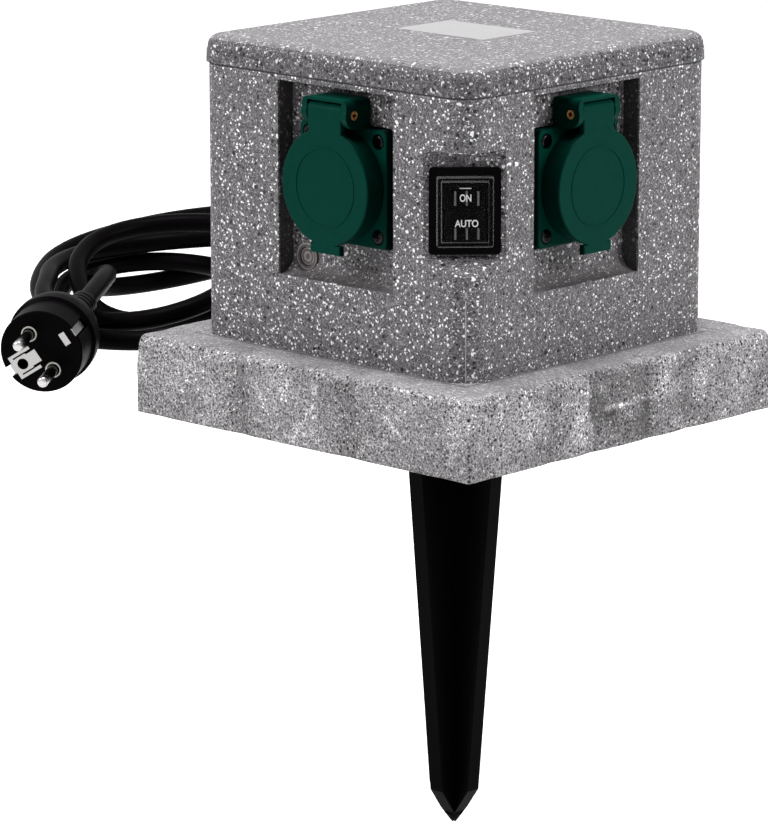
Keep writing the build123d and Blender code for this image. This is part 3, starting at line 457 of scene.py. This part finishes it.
block = bmesh.new()
bmesh.ops.create_cube(block, size=1)
bmesh.ops.scale(block, vec=(2 * side, 2 * side, height), verts=block.verts)
bmesh.ops.translate(block, vec=(0, 0, height / 2), verts=block.verts)
underside = min(block.faces, key=lambda f: f.calc_center_median().z)
bmesh.ops.delete(block, geom=[underside], context="FACES_ONLY")
for axis, cuts in ((2, 23), (0, 135), (1, 135)):
    edges = [e for e in block.edges if abs((e.verts[0].co - e.verts[1].co)[axis]) > 0.99 * e.calc_length()]
    bmesh.ops.subdivide_edges(block, edges=edges, cuts=cuts, use_grid_fill=True)
painted_shading_layer = block.verts.layers.float.new("painted_shading")
for vert in block.verts:
    # The block with its corners and shoulders rounded, before it is hewn.
    x, y, z = vert.co
    corner = 0.0015 + 0.0024 * min(max((z - 0.02) / 0.0095, 0), 1)
    core = Vector((
        max(min(x, side - corner), corner - side), max(min(y, side - corner), corner - side),
        min(z, height - rounding),
    ))
    reach = Vector((corner, corner, rounding))
    outward = Vector([gap / most for gap, most in zip(vert.co - core, reach)]).normalized()
    flat = Vector((outward.x, outward.y, 0))
    # The valleys, the panels that bulge between them and the one that is set back.
    face = 0 if -y >= abs(x) else 1 if x >= abs(y) else 2 if y >= abs(x) else 3
    along, up = (x, y, -x, -y)[face] * 1000, z * 1000
    rough = ripple.noise(vert.co * 42) * 0.5 + ripple.noise(vert.co * 130) * 0.22
    drift = ripple.noise(Vector((along * 0.03, face * 7, z * 60))) * 3
    groove = max(
        math.exp(-(((along + drift - valley) / valley_reach) ** 2)) * (0.35 if abs(valley) > 80 else 1)
        for valley in valleys[face]
    )
    ends = (-last_panel_end, *valleys[face], last_panel_end)
    panel = max(i for i in range(len(ends) - 1) if i == 0 or ends[i] <= along)
    bulge = (2 * (along - ends[panel]) / (ends[panel + 1] - ends[panel]) - 1) ** 2
    bulge *= 1 if abs(ends[panel]) < 90 and abs(ends[panel + 1]) < 90 else 0.3
    set_back = face == panel_side and panel_start < along < panel_end and z > 0
    # The set-back panel also gets painted shade, more in its upper part.
    set_depth, panel_painted_shade = ((1.1, 1.1) if up > panel_notch else (0.5, 0.75)) if set_back else (0, 0)
    wall = 0.35 * bulge + 0.75 * groove + 0.6 * max(rough + 0.25, 0) + set_depth
    rim = math.exp(-(side - max(abs(x), abs(y))) / 0.006)
    shoulder = rim * (0.9 * groove + 0.3 * bulge + 1.1 * max(rough + 0.2, 0))
    cut = flat * min(wall, deepest) + Vector((0, 0, outward.z * min(shoulder, deepest)))
    vert.co = core + outward * reach - cut / 1000
    # Painted shade in the valleys, on rough spots, on the set-back panel and as a painted shadow along the
    # housing's foot; painted highlights on pale patches and ridges, painted shade on cracks.
    painted_foot_shadow = 1.3 if 0 < max(abs(x), abs(y)) - housing_foot < 0.0015 and z > 0.034 else 0
    tone = min(groove * 0.5 + 0.2 * bulge + max(rough, 0) * 0.6 + panel_painted_shade, 1.3)
    tone -= 1.2 * painted_highlight(face, along, up) + painted_streaks(face, along, up)
    vert[painted_shading_layer] = tone * flat.length + painted_foot_shadow
bmesh.ops.recalc_face_normals(block, faces=block.faces)
hewn = bpy.data.meshes.new("hewn_slab")
block.to_mesh(hewn)
block.free()
for polygon in hewn.polygons:
    polygon.use_smooth = True
hewn.materials.append(slab_stone)
slab = link("hewn_slab", hewn, "post")
thickness = slab.modifiers.new("wall", "SOLIDIFY")
thickness.thickness = shell
thickness.offset = -1
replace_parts(slab, "base_slab")


# Housing, recess trays and cap: moulded in darker granite-look plastic. Painted shade makes the recesses'
# cheeks nearly black, their sills plain and dark and the recesses a little darker, and dims the cap's band;
# painted light makes the cap's top paler. A thin seam runs round where the cap snaps on, with a painted
# shadow in it and a painted highlight just below it. Distances are in metres, from the post's middle and
# from the ground.
face_inside, recess_back, recess_half, recess_top = 0.0766, 0.04, 0.05, 0.153
seam_low, seam_middle, seam_high, top_rounding = 0.1508, 0.1515, 0.15252, 0.1625


def band(tree, low, value, high):
    """One where a coordinate lies between two limits."""
    above = maths(tree, "GREATER_THAN", value, low)
    return maths(tree, "MULTIPLY", above, maths(tree, "LESS_THAN", value, high))


def overlap(tree, *masks):
    """The masks multiplied together."""
    shared = masks[0]
    for mask in masks[1:]:
        shared = maths(tree, "MULTIPLY", shared, mask)
    return shared


granite, tree, shader, place, ground, fine = stone(
    "granite", dark=(0.05, 0.046, 0.051), light=(0.178, 0.169, 0.178), bright=(0.5, 0.49, 0.5),
    flecks=0.85, chips=0.5, chip_size=0.24, dots=0.6, dot_cell=2.6,
)
x, y, z = split(tree, place)
turned = split(tree, tree.nodes.new("ShaderNodeNewGeometry").outputs["Normal"])
facing = [maths(tree, "ABSOLUTE", part) for part in turned]
below = maths(tree, "LESS_THAN", z, recess_top)
in_left = overlap(
    tree, band(tree, -face_inside, y, -recess_back), band(tree, -recess_half, x, recess_half), below)
in_right = overlap(
    tree, band(tree, recess_back, x, face_inside), band(tree, -recess_half, y, recess_half), below)
recess = maths(tree, "ADD", in_left, in_right, clamp=True)
# Painted shade: the recesses' cheeks nearly black and their sills plain and dark.
painted_cheek_shade = maths(
    tree, "ADD", overlap(tree, in_left, facing[0]), overlap(tree, in_right, facing[1]), clamp=True)
painted_sill_shade = maths(tree, "MULTIPLY", recess, facing[2], clamp=True)
# Painted light: the cap's top is made paler.
painted_light_cap_top = maths(tree, "GREATER_THAN", z, top_rounding)
for mask, strength, tone in (
    (painted_light_cap_top, 0.4, (0.235, 0.228, 0.235)), (painted_cheek_shade, 0.85, (0.022, 0.019, 0.02)),
    (painted_sill_shade, 0.7, (0.12, 0.11, 0.115)),
):
    ground = blend_colour(tree, maths(tree, "MULTIPLY", mask, strength), ground, tone)
# Painted shadow in the seam, with a painted highlight just below it.
painted_seam_shadow = maths(tree, "MULTIPLY", band(tree, seam_middle, z, seam_high), 1.9)
painted_seam_light = maths(tree, "SUBTRACT", band(tree, seam_low, z, seam_middle), painted_seam_shadow)
# Painted shade dims the cap's band and darkens the recesses a little.
painted_cap_band_shade = maths(tree, "MULTIPLY", band(tree, seam_high, z, top_rounding), 0.27)
painted_darkening = maths(tree, "ADD", maths(tree, "MULTIPLY", recess, 0.12), painted_cap_band_shade)
shade = maths(tree, "SUBTRACT", maths(tree, "MULTIPLY_ADD", painted_seam_light, 0.4, 0.97), painted_darkening)
feed(tree, shader.inputs["Base Color"], shaded(tree, ground, shade))
bump(tree, shader, fine, 0.0002, 0.5)
dress("grey_stone", granite)


# Label: a blank film stuck to the middle of the cap's top. It is brushed grey and stands 0.2 mm proud of
# the cap.
label_size, label_middle = (0.050, 0.0335, 0.0003), (-0.0007, 0.00725, 0.16405)


def box(size):
    """A bmesh with one box around the origin."""
    shape = bmesh.new()
    bmesh.ops.create_cube(shape, size=1)
    bmesh.ops.scale(shape, vec=size, verts=shape.verts)
    return shape


def make_piece(name, shape, finish, body):
    """Makes a shape into a named piece with its finish."""
    mesh = bpy.data.meshes.new(name)
    shape.to_mesh(mesh)
    shape.free()
    mesh.materials.append(finish)
    return link(name, mesh, body)


film, tree, shader, place = material("label_film", (0.72, 0.71, 0.72), 0.35)
stretch = tree.nodes.new("ShaderNodeMapping")
stretch.inputs["Scale"].default_value = (1, 14, 1)
feed(tree, stretch.inputs["Vector"], place)
streak = noise(tree, stretch.outputs[0], 90, 4, 0.7)
feed(tree, shader.inputs["Base Color"], blend_colour(tree, streak, (0.22, 0.216, 0.22), (0.4, 0.394, 0.4)))
patch = box(label_size)
bmesh.ops.translate(patch, vec=label_middle, verts=patch.verts)
make_piece("blank_label", patch, film, "post")


# Mould line: a thin raised line where the two halves of the housing's mould met, down the front corner from
# under the switch to the slab. Its pale colour is a painted highlight along the corner's edge.
edge_size, edge_middle = (0.0004, 0.034, 0.0003), (0.0741, -0.0741, 0.052)
slant = math.sqrt(0.5)
corner_turned = Matrix(((slant, 0, slant, 0), (slant, 0, -slant, 0), (0, 1, 0, 0), (0, 0, 0, 1)))
ridge = box(edge_size)
bmesh.ops.transform(ridge, matrix=Matrix.Translation(edge_middle) @ corner_turned, verts=ridge.verts)
mould_line_painted_highlight = material("mould_line_painted_highlight", (0.42, 0.41, 0.42), 0.6, grain=260, spread=0.75)[0]
make_piece("mould_line", ridge, mould_line_painted_highlight, "post")


# Spike, bottom plate and the black mouldings of outlets, switch and gland: satin black plastic with a very
# fine grain. The screws inside and the lids' springs are plain steel.
black_satin, tree, shader, place = material("black_satin", (0.0018, 0.0014, 0.0018), 0.3, grain=1500)
shader.inputs["Specular IOR Level"].default_value = 0.013
dress("black_plastic", black_satin)
dress("steel", material("plain_steel", (0.4, 0.4, 0.4), 0.34, metallic=1.0)[0])


# Inner works: the control board with its relay, the terminal block and the supply cores, each moulded in
# its usual colour. The plug's pin rings are of the terminals' cream plastic.
for slot_name, name, colour, roughness in (
    ("board", "board_green", (0.02, 0.12, 0.04), 0.45), ("relay_blue", "relay_case", (0.02, 0.06, 0.25), 0.3),
    ("terminal_white", "terminal_cream", (0.62, 0.61, 0.56), 0.45),
    ("core_blue", "core_sheath", (0.02, 0.06, 0.3), 0.45),
):
    dress(slot_name, material(name, colour, roughness)[0])


# Outlets: dark green moulded plastic with a faint satin ripple, with painted shade on the sides that face the
# front corner. The lids hang on turned brass pins whose ends carry a dark disc of painted shade where a bore
# would be, the earth clips are nickel-plated, and the flanges are held by darkened steel screws.
pin_height, pin_out, bore = 0.1394, 0.0795, 0.0009
green, tree, shader, place = material("green_moulded", (0.0002, 0.0345, 0.024), 0.36, grain=240)
shader.inputs["Specular IOR Level"].default_value = 0.022
x, y, z = split(tree, place)
turned = split(tree, tree.nodes.new("ShaderNodeNewGeometry").outputs["Normal"])
# Painted shade on the sides turned towards the front corner.
left_sides = maths(tree, "MULTIPLY", maths(tree, "LESS_THAN", y, -0.06), turned[0], clamp=True)
to_corner = maths(tree, "MULTIPLY", turned[1], -1.0)
right_sides = maths(tree, "MULTIPLY", maths(tree, "GREATER_THAN", x, 0.06), to_corner, clamp=True)
painted_side_shade = maths(tree, "MULTIPLY_ADD", maths(tree, "MAXIMUM", left_sides, right_sides), -0.62, 1.0)
feed(tree, shader.inputs["Base Color"], shaded(tree, painted(shader), painted_side_shade))
dress("green_plastic", green)

brass, tree, shader, place = material("turned_brass", (0.85, 0.44, 0.14), 0.28, metallic=1.0)
x, y, z = split(tree, place)
# Painted shade: a dark disc at each pin's end stands for its bore.
rise = maths(tree, "POWER", maths(tree, "SUBTRACT", z, pin_height), 2.0)
bore_discs = []
for across, offset in ((y, pin_out), (x, -pin_out)):
    run = maths(tree, "POWER", maths(tree, "ADD", across, offset), 2.0)
    bore_discs.append(maths(tree, "LESS_THAN", maths(tree, "ADD", rise, run), bore**2))
painted_bore_shade = blend_colour(tree, maths(tree, "MAXIMUM", *bore_discs), painted(shader), (0.01, 0.008, 0.006))
feed(tree, shader.inputs["Base Color"], painted_bore_shade)
dress("brass", brass)
plate = {"metallic": 1.0, "grain": 1200, "spread": 0.08, "relief": 0.000004}
dress("nickel", material("nickel_plate", (0.3, 0.295, 0.29), 0.26, **plate)[0])
dark_steel = material("dark_steel", (0.014, 0.013, 0.013), 0.22, metallic=1.0)[0]
for outlet in ("left", "right"):
    wear(outlet + "_flange_screws", dark_steel)


# Switch cover: a boot of thin clear plastic clipped over the rocker. Face on it is see-through, and towards
# its rounded edges it turns pale grey, a painted reflection made with its opacity. It is a box, empty inside
# and open behind.
niche = Matrix.Translation((0.06555, -0.06555, 0.1043)) @ corner_turned
cover_size, cover_middle, cover_rim, hollow_depth = (0.0234, 0.0292, 0.0044), 0.0049, 0.0019, 0.0034
between_walls_x, between_walls_y = 0.0105, 0.013
clear, tree, shader, place = material("clear_boot", (0.42, 0.42, 0.43), 0.14)
glancing = tree.nodes.new("ShaderNodeLayerWeight")
glancing.inputs["Blend"].default_value = 0.35
edge_on = maths(tree, "POWER", glancing.outputs["Facing"], 2.5)
# Painted reflection: the boot grows opaque and pale as it turns edge-on.
feed(tree, shader.inputs["Alpha"], maths(tree, "MULTIPLY_ADD", edge_on, 0.95, 0.004, clamp=True))
dress("clear_plastic", clear)

hood = box(cover_size)
bmesh.ops.translate(hood, vec=(0, 0, cover_middle), verts=hood.verts)
front = [v for v in hood.verts if v.co.z > cover_middle]
bmesh.ops.scale(hood, vec=(0.974, 0.979, 1), verts=front)
rear = [f for f in hood.faces if f.normal.z < -0.9]
bmesh.ops.inset_region(hood, faces=rear, thickness=cover_rim, use_even_offset=True)
pushed = bmesh.ops.extrude_discrete_faces(hood, faces=rear)["faces"]
bmesh.ops.translate(hood, vec=(0, 0, hollow_depth), verts=pushed[0].verts)
bmesh.ops.scale(hood, vec=(0.975, 0.98, 1), verts=pushed[0].verts)
outer = [v for v in hood.verts if abs(v.co.x) > between_walls_x and abs(v.co.y) > between_walls_y]
edges = [
    e for e in hood.edges
    if all(v in outer for v in e.verts) and any(v.co.z > cover_middle for v in e.verts)
]
bmesh.ops.bevel(
    hood, geom=edges, offset=0.0009, offset_type="OFFSET", affect="EDGES", segments=4, profile=0.5,
    material=-1,
)
bmesh.ops.transform(hood, matrix=niche, verts=hood.verts)
bmesh.ops.recalc_face_normals(hood, faces=hood.faces)
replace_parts(make_piece("clear_cover", hood, clear, "post"), "switch_boot")


# Rocker: its two words and the bar above them are moulded in white, and six worn ribs give the finger
# hold. They lie on the rocker as it rests, with its lower end pressed in.
# Each word's place across and up the rocker, its width and its letters' height.
words = (("ON", 0.0002, 0.0050, 0.0047, 0.0030), ("AUTO", 0.0006, -0.0054, 0.0096, 0.0029))
face_lift = 0.0029
bar_size, bar_middle = (0.0048, 0.0003, 0.0005), (0.0002, 0.0089, 0.0021)
rib_places, rib_rows = (-0.0040, 0.0007, 0.0054), ((-0.0097, 0.0048), (0.0048, 0.0060))
rib_width, rib_height, rib_lift, rib_rounding = 0.0009, 0.0005, 0.00275, 0.0002
pivot = Matrix.Translation((0, 0, 0.001))
pressed = pivot.inverted() @ Matrix.Rotation(math.radians(-7), 4, "X") @ pivot
ink = material("white_ink", (0.78, 0.78, 0.76), 0.5)[0]
for word, across, up, width, cap_height in words:
    letters = bpy.data.curves.new(word, "FONT")
    letters.body = word
    letters.align_x = "CENTER"
    letters.align_y = "CENTER"
    letters.extrude = 0.03
    letters.offset = 0.012
    typed = bpy.data.objects.new(word, letters)
    scene.collection.objects.link(typed)
    bpy.context.view_layer.update()
    raised = bpy.data.meshes.new_from_object(typed.evaluated_get(bpy.context.evaluated_depsgraph_get()))
    bpy.data.objects.remove(typed)
    xs, ys = [v.co.x for v in raised.vertices], [v.co.y for v in raised.vertices]
    centre = Matrix.Translation((-(max(xs) + min(xs)) / 2, -(max(ys) + min(ys)) / 2, 0))
    size = Matrix.Diagonal((width / (max(xs) - min(xs)), cap_height / (max(ys) - min(ys)), 0.01, 1))
    raised.transform(niche @ pressed @ Matrix.Translation((across, up, face_lift)) @ size @ centre)
    raised.materials.append(ink)
    link("word_" + word, raised, "rocker")

mark = box(bar_size)
bmesh.ops.transform(mark, matrix=niche @ pressed @ Matrix.Translation(bar_middle), verts=mark.verts)
make_piece("bar_mark", mark, ink, "rocker")

ribs = bmesh.new()
for across in rib_places:
    for up, length in rib_rows:
        rib_size = Matrix.Diagonal((rib_width, length, rib_height, 1))
        rib_shape = Matrix.Translation((across, up, rib_lift)) @ rib_size
        rib = bmesh.ops.create_cube(ribs, size=1, matrix=rib_shape)["verts"]
        edges = [e for e in ribs.edges if all(v in rib for v in e.verts)]
        bmesh.ops.bevel(
            ribs, geom=edges, offset=rib_rounding, affect="EDGES", segments=2, profile=0.5, material=-1)
bmesh.ops.transform(ribs, matrix=niche @ pressed, verts=ribs.verts)
make_piece("rocker_ribs", ribs, material("worn_black", (0.075, 0.072, 0.075), 0.45)[0], "rocker")


# Dusk sensor: a small smoked window and its bezel, low in the left recess, moulded with fine rings around
# its middle.
window_middle, rings_per_metre = (-0.0208, -0.0705, 0.0742), 3600
ringed, tree, shader, place = material("ringed_window", (0.3, 0.27, 0.26), 0.2)
off_middle = vector_maths(tree, "DISTANCE", place, window_middle)["Value"]
wave = maths(tree, "SINE", maths(tree, "MULTIPLY", off_middle, rings_per_metre))
rings = maths(tree, "MULTIPLY_ADD", wave, 0.5, 0.5)
feed(tree, shader.inputs["Base Color"], blend_colour(tree, rings, (0.035, 0.025, 0.024), (0.2, 0.18, 0.175)))
bump(tree, shader, rings, 0.0002, 0.7)
wear("sensor_bezel", ringed)
wear("sensor_lens", ringed)


# Plug pins: nickel-plated and bright at their tips, while their shafts are made dark as a painted reflection
# of the black plug. The tips are told from the shafts by how far they stand out along the plug's axis from
# the middle of its face.
plug_axis, plug_face, shaft_length = (0.527, -0.8435, -0.1002), (-0.1538, -0.1007, 0.0183), 0.0132
pins, tree, shader, place = material("plug_pin", (0.42, 0.415, 0.41), 0.24, **plate)
tip_start = shaft_length + sum(part * middle for part, middle in zip(plug_axis, plug_face))
out = vector_maths(tree, "DOT_PRODUCT", place, plug_axis)["Value"]
tips = maths(tree, "MULTIPLY_ADD", out, 700.0, -700.0 * tip_start, clamp=True)
# Painted reflection: the shafts take a near-black colour.
feed(tree, shader.inputs["Base Color"], blend_colour(tree, tips, (0.05, 0.048, 0.048), painted(shader)))
wear("plug_pins", pins)
